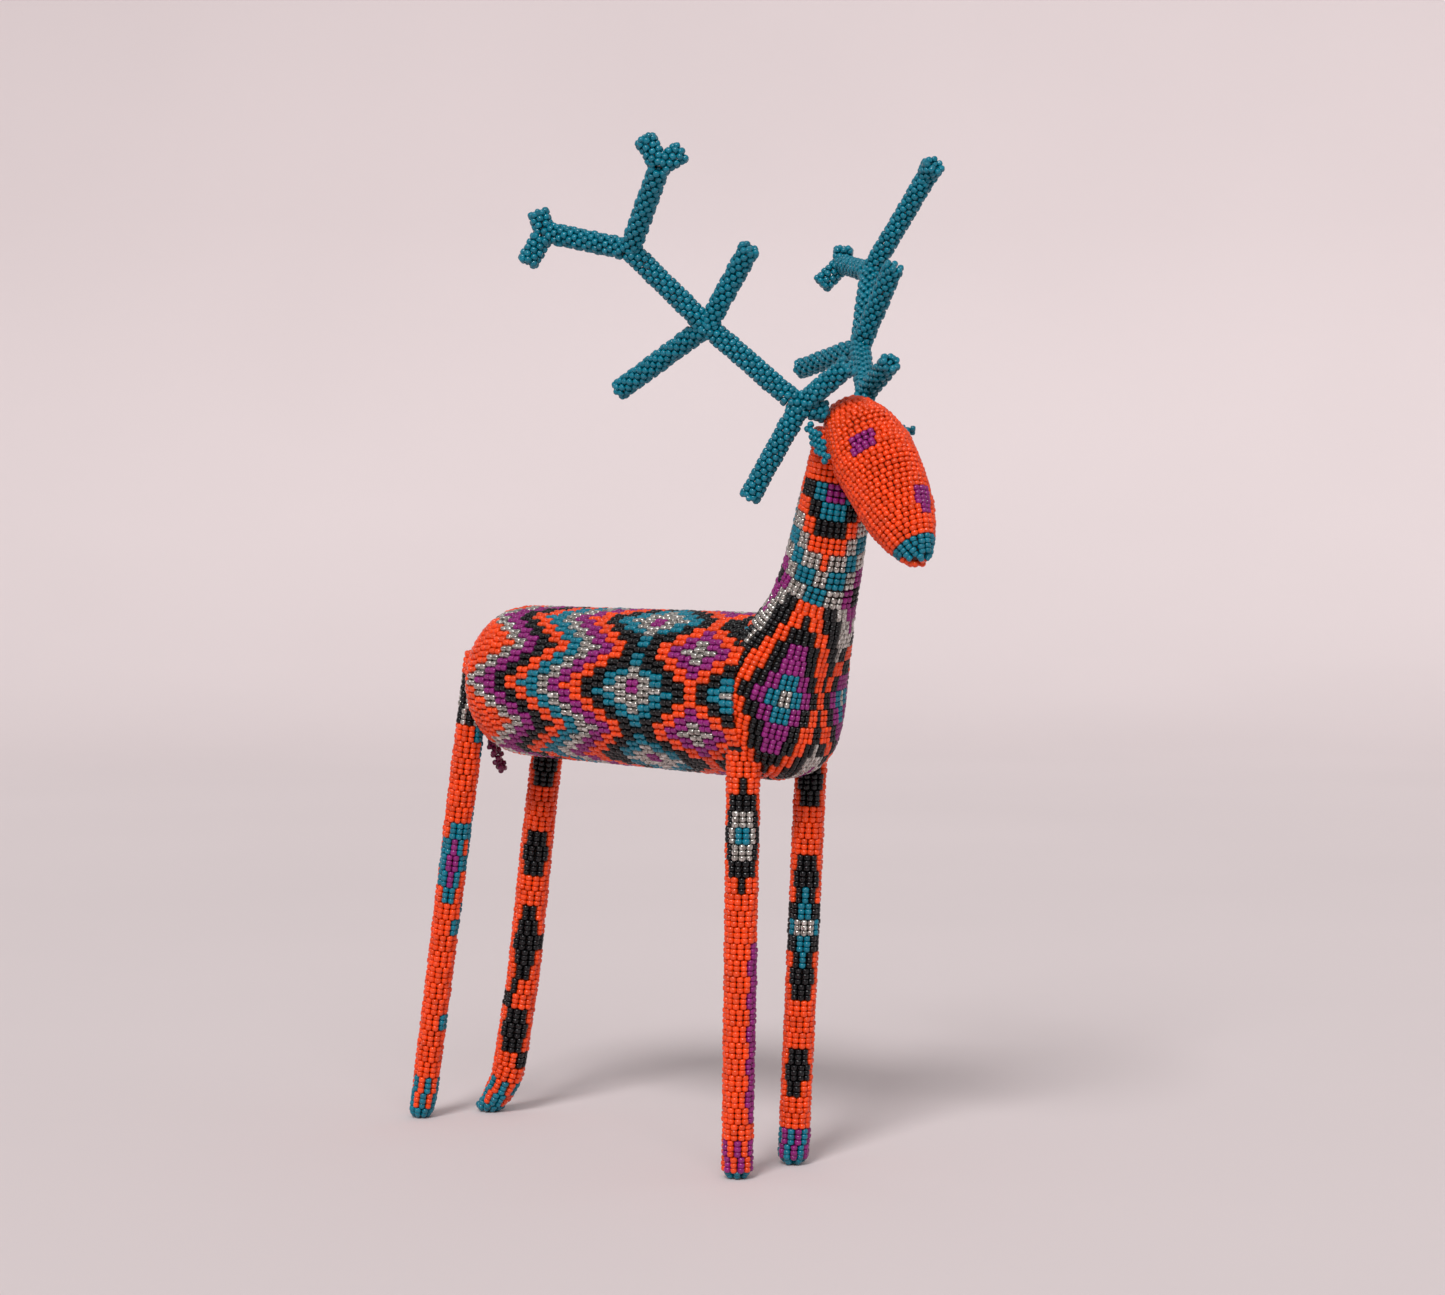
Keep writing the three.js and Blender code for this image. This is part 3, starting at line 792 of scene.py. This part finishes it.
def trunk_guide():
    low, high = (Vector(corner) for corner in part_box("trunk_sleeve"))
    at = (low + high) / 2
    start, end = Vector((at.x, high.y, at.z)), Vector((at.x, low.y, at.z))
    line = middle_line(["trunk_sleeve"], start, end, (14 * MM, 3 * MM))
    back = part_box("rump_panel")[1][1]
    line[0] += (line[0] - line[1]).normalized() * (back - line[0].y)
    line.append(line[-1] + (line[-1] - line[-2]).normalized() * TRUNK_TUCK)
    return Guide(["trunk_sleeve", "rump_panel"], line, TRUNK_ZERO, 30 * MM, (12 * MM, 0))


def neck_guide(trunk):
    """From the bottom of the chest up its front, then up the neck."""
    low, high = (Vector(corner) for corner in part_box("chest_neck_sleeve"))
    points, faces = world_mesh("chest_neck_sleeve")
    front = Vector(trunk.centre[-1] - trunk.tangent[-1] * CHEST_BACK)
    line = [Vector((front.x, front.y + 7 * MM, low.z)), Vector((front.x, front.y - 1.5 * MM, front.z))]
    base, top = front.z + 25 * MM, high.z - 6 * MM
    steps = 6
    for i in range(steps):
        height = base + (top - base) * i / (steps - 1)
        line.append(section_middle(points, faces, Vector((0, 0, height)), Vector((0, 0, 1))))
    line.append(line[-1] + (line[-1] - line[-2]).normalized() * (high.z - top))
    return Guide(["chest_neck_sleeve"], rounded(line), FACING, 40 * MM, (16 * MM, 0))


def rounded(line, per=8):
    """A smooth curve through a few points."""
    knots = np.array([list(p) for p in line])
    knots = np.r_[[2 * knots[0] - knots[1]], knots, [2 * knots[-1] - knots[-2]]]
    out = []
    for a, b, c, d in zip(knots, knots[1:], knots[2:], knots[3:]):
        for t in np.arange(per) / per:
            out.append(0.5 * (2 * b + (c - a) * t + (2 * a - 5 * b + 4 * c - d) * t ** 2
                              + (3 * b - a - 3 * c + d) * t ** 3))
    out.append(knots[-2])
    return out


def neck_columns(neck):
    return count_round(neck, 1.95 * MM, last_width=1.65 * MM)


def head_guide():
    nodes = ["head_sleeve", "nose_cap", "eye_patch_right", "eye_patch_left"]
    ends = long_axis("head_sleeve", "nose_cap")
    back, nose = sorted(ends, key=lambda end: (end - middle_of("nose_cap")).length, reverse=True)
    line = middle_line(["head_sleeve"], back, nose, (8 * MM, 9 * MM))
    return Guide(nodes, line, FACING, 20 * MM, (5 * MM, 2 * MM))


def leg_guide(name):
    nodes = [f"leg_{name}_sleeve", f"foot_cap_{name}"]
    ends = sorted(long_axis(*nodes), key=lambda end: end.z)
    line = middle_line(nodes, *ends, (4 * MM, 22 * MM))
    return Guide(nodes, line, FACING, 9 * MM, (3 * MM, 0))


def from_flat_tip(node):
    """The line of a stubby tube, which ends in its largest flat face."""
    points, faces = world_mesh(node)
    areas, middles = {}, {}
    for corners in ([points[i] for i in face] for face in faces):
        square = (corners[1] - corners[0]).cross(corners[2] - corners[0])
        facing = tuple(round(value, 2) for value in square.normalized())
        areas[facing] = areas.get(facing, 0) + square.length
        middle = sum(corners, Vector()) / len(corners)
        middles[facing] = middles.get(facing, Vector()) + middle * square.length
    widest = max(areas, key=areas.get)
    tip, out = middles[widest] / areas[widest], Vector(widest).normalized()
    return [tip - out * max((tip - point).dot(out) for point in points), tip]


def branch_guide(node, hub):
    ends = sorted(long_axis(node), key=lambda end: (end - hub).length)
    stub = (ends[1] - ends[0]).length < STUB_LENGTH
    line = from_flat_tip(node) if stub else middle_line([node], *ends, (3 * MM, 3 * MM))
    return Guide([node], line, FACING, ANTLER_BIGGEST, (0, ANTLER_TIP))


def build_trunk(trunk, rng):
    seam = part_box("rump_panel")[0].y

    def chart(ring, x, point):
        part = "rump_panel" if point[1] > seam else "trunk_sleeve"
        return part, trunk_chart(ring, x, point)

    add_beads(weave(trunk, TRUNK_WEAVING, count_round(trunk, TRUNK_BEAD, TRUNK_ROUND), chart, rng), rng)


def build_neck(neck, trunk, head, rng):
    in_trunk, in_head = inside(trunk), inside(head)

    def chart(ring, x, point):
        return "chest_neck_sleeve", chest_chart(ring, x, point)

    def skip(points):
        return in_trunk(points + trunk.tangent[-1] * CHEST_OVERLAP) | in_head(points)

    add_beads(weave(neck, NECK_WEAVING, neck_columns(neck), chart, rng, skip), rng)


def build_head(head, rng):
    nose = middle_of("nose_cap")
    muzzle = Vector(head.tangent[-1])
    edge = min((Vector(corner) - nose).dot(muzzle) for corner in world_mesh("nose_cap")[0])
    eyes = {node: BVHTree.FromPolygons(*world_mesh(node)) for node in ("eye_patch_right", "eye_patch_left")}

    def chart(ring, x, point):
        point = Vector(point)
        if (point - nose).dot(muzzle) > edge and point.z > nose.z - CHIN:
            return "nose_cap", "teal"
        for node, skin in eyes.items():
            if skin.find_nearest(point)[3] < EYE_REACH:
                return node, "purple"
        return "head_sleeve", "orange"

    add_beads(weave(head, HEAD_WEAVING, count_round(head, HEAD_BEAD), chart, rng), rng)


def build_leg(name, others, rng):
    leg = leg_guide(name)
    weaving = LEG_WEAVINGS[name]
    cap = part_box(f"foot_cap_{name}")[1].z

    def chart(ring, x, point):
        if point[2] < cap:
            return f"foot_cap_{name}", "teal"
        return f"leg_{name}_sleeve", LEG_CHARTS[name](ring, x, point)

    columns = count_round(leg, LEG_BEAD, LEG_ROUND)
    strung = weave(leg, weaving, columns, chart, rng, inside(*others))
    for beads in strung.values():
        beads.keep_above(0)
    add_beads(strung, rng)


def build_antler(side, head, rng):
    hub = middle_of(f"antler_{side}_beam_lower")
    done = [head]
    for branch in BRANCHES:
        node = f"antler_{side}_{branch}"
        guide = branch_guide(node, hub)
        columns = count_round(guide, ANTLER_BEAD, ANTLER_ROUND)
        chart = lambda ring, x, point: (node, "teal")
        add_beads(weave(guide, ANTLER_WEAVING, columns, chart, rng, inside(*done)), rng)
        done.append(guide)


def build_ear(side, rng):
    """A leaf of beads, one layer thick, in rows that lie along it."""
    node = f"ear_{side}"
    points = np.array([list(p) for p in world_mesh(node)[0]])
    centre = (points.max(0) + points.min(0)) / 2
    along, across, out = np.linalg.svd(points - points.mean(0), full_matrices=False)[2]
    spots = (points - centre) @ np.stack([along, across, out], 1)
    half_length, half_width, _ = (spots.max(0) - spots.min(0)) / 2
    middle = centre + ((spots.max(0) + spots.min(0)) / 2) @ np.stack([along, across, out])
    beads = Beads()
    rows = round(2 * half_length / EAR_BEAD[0])
    for row in range(rows):
        t = (row + 0.5) / rows * 2 - 1
        wide = half_width * math.sqrt(max(1 - t * t, 0)) + 0.2 * EAR_BEAD[1]
        count = max(1, round(2 * wide / EAR_BEAD[1]))
        count -= (count - row) % 2 if count > 1 else 0
        for k in range(count):
            aside = (k - (count - 1) / 2) * EAR_BEAD[1]
            curve = EAR_CURL * (1 - (aside / half_width) ** 2)
            spot = middle + along * t * half_length + across * aside + out * curve
            hole, face = leaned(along, out, rng)
            beads.add(spot, hole, face, EAR_BEAD[1] / 2, EAR_BEAD[0])
    add_beads({(node, "teal"): beads}, rng, body=node)


def build_tail(rng):
    """Two twisted strands that run round the loop."""
    node = "tail_loop"
    points = np.array([list(p) for p in world_mesh(node)[0]])
    centre = (points.max(0) + points.min(0)) / 2
    along, across, out = np.linalg.svd(points - points.mean(0), full_matrices=False)[2]
    spots = (points - centre) @ np.stack([along, across, out], 1)
    half_length, half_width, string = (spots.max(0) - spots.min(0)) / 2
    beads = Beads()
    for strand in (0, 1):
        for k in range(TAIL_BEADS):
            turn = 2 * math.pi * (k + strand / 2) / TAIL_BEADS
            twist = TAIL_TWISTS * turn + math.pi * strand
            radial = unit(math.cos(turn) * along * half_width + math.sin(turn) * across * half_length)
            hole = unit(-math.sin(turn) * along * half_length + math.cos(turn) * across * half_width)
            ring = along * math.cos(turn) * (half_length - string)
            ring = ring + across * math.sin(turn) * (half_width - string)
            shift = TAIL_STRAND * (math.cos(twist) * radial + math.sin(twist) * out)
            lean, face = leaned(hole, radial, rng)
            beads.add(centre + ring + shift, lean, face, TAIL_BEAD[1] / 2, TAIL_BEAD[0])
    add_beads({(node, "maroon"): beads}, rng, body=node)


def build_figure(rng):
    trunk = trunk_guide()
    neck = neck_guide(trunk)
    head = head_guide()
    build_trunk(trunk, rng)
    build_neck(neck, trunk, head, rng)
    build_head(head, rng)
    for name in LEGS:
        build_leg(name, (trunk, neck), rng)
    for side in ("right", "left"):
        build_antler(side, head, rng)
        build_ear(side, rng)
    build_tail(rng)


build_figure(np.random.RandomState(7))


# ---------------------------------------------------------------- CAD nodes that show through
def finish_cad():
    for name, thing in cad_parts.items():
        # cores and padding take the dark padding material, which is painted shade showing in the gaps
        # between beads
        if name.endswith(("_core", "_padding")):
            finish = GAP_SHADE_PADDING
        elif "wire" in name:
            finish = WIRE
        else:
            finish = MATERIALS["teal"]
        thing.data.materials.clear()
        thing.data.materials.append(finish)


finish_cad()


# ---------------------------------------------------------------- stage, light and camera
WALL_PROFILE = ((0.0, 0.0), (1.65, 0.0), (1.95, 0.06), (2.2, 0.22), (2.38, 0.5), (2.45, 1.0))
WALL_SIDES = 64


def lathe_points(profile, sides):
    points = [(0.0, 0.0, 0.0)]
    for radius, height in profile[1:]:
        for k in range(sides):
            turn = 2 * math.pi * k / sides
            points.append((radius * math.cos(turn), radius * math.sin(turn), height))
    return points


def add_stage():
    """A floor that curves up into a wall all round, open above."""
    faces = []
    for k in range(WALL_SIDES):
        after = (k + 1) % WALL_SIDES
        faces.append((0, 1 + k, 1 + after))
        for ring in range(len(WALL_PROFILE) - 2):
            low = 1 + ring * WALL_SIDES
            faces.append((low + k, low + WALL_SIDES + k, low + WALL_SIDES + after, low + after))
    mesh = bpy.data.meshes.new("stage_floor")
    mesh.from_pydata(lathe_points(WALL_PROFILE, WALL_SIDES), [], faces)
    for polygon in mesh.polygons:
        polygon.use_smooth = True
    stage = bpy.data.objects.new("stage_floor", mesh)
    bpy.context.scene.collection.objects.link(stage)
    mesh.materials.append(stage_paper("stage_paper", (0.725, 0.64, 0.645)))


def aim(thing, at, target):
    thing.location = at
    thing.rotation_euler = (Vector(target) - Vector(at)).to_track_quat("-Z", "Y").to_euler()


SUN_FROM = (-1.02, -0.38, 1.2)     # left of the camera and above
SUN_STRENGTH = 1.95
SUN_SPREAD = math.radians(18)
SOFTBOX_AT = (-0.9, -1.1, 1.3)
SOFTBOX_SIZE = 0.7
SOFTBOX_POWER = 5
AMBIENT = 0.40


def add_light(name, kind, at, strength):
    lamp = bpy.data.lights.new(name, kind)
    lamp.energy = strength
    light = bpy.data.objects.new(name, lamp)
    bpy.context.scene.collection.objects.link(light)
    aim(light, at, (0, 0, 0.13))
    return lamp


def add_lights():
    add_light("key", "SUN", SUN_FROM, SUN_STRENGTH).angle = SUN_SPREAD
    softbox = add_light("softbox", "AREA", SOFTBOX_AT, SOFTBOX_POWER)
    softbox.size = SOFTBOX_SIZE
    world = bpy.data.worlds.new("studio")
    world.use_nodes = True
    background = world.node_tree.nodes["Background"]
    background.inputs["Color"].default_value = (1, 1, 1, 1)
    background.inputs["Strength"].default_value = AMBIENT
    bpy.context.scene.world = world


def add_camera():
    lens = bpy.data.cameras.new("camera")
    lens.lens = CAMERA_LENS
    lens.sensor_width = SENSOR
    lens.clip_start = 0.05
    lens.clip_end = 20
    camera = bpy.data.objects.new("camera", lens)
    bpy.context.scene.collection.objects.link(camera)
    camera.location = CAMERA_AT
    camera.rotation_euler = (math.pi / 2 - CAMERA_DOWN, 0, CAMERA_AZIMUTH)
    bpy.context.scene.camera = camera


add_stage()
add_lights()
add_camera()
bpy.context.scene.view_settings.view_transform = "Standard"
